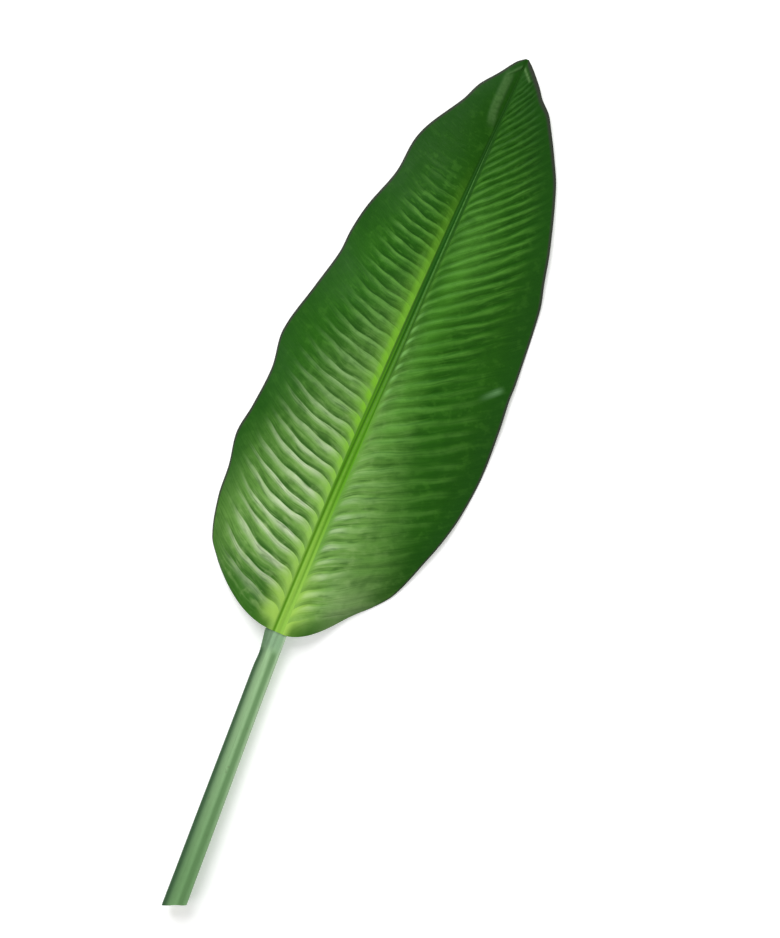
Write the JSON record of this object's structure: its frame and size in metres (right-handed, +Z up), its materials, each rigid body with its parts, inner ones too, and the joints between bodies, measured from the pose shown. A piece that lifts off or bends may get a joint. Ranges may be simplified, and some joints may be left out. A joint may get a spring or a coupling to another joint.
{
  "type": "banana leaf",
  "caption": "Cut banana leaf lying face up: a long pleated blade with waved margins and a pointed tip, and a channelled stalk that runs on as the midrib's keel.",
  "frame": {"origin": "on the surface that the leaf lies on, under the place where the stalk meets the blade", "axes": "+Y along the midrib towards the tip, +X to the right seen from above, +Z up from the surface, with the leaf's upper face up"},
  "size_m": [0.2339, 0.8828, 0.0258],
  "materials": {
    "leaf_green": "waxy satin",
    "stalk_green": "smooth satin"
  },
  "bodies": {
    "root": {"leaf_blade": "leaf_green", "stalk_and_keel": "stalk_green"}
  },
  "joints": []
}
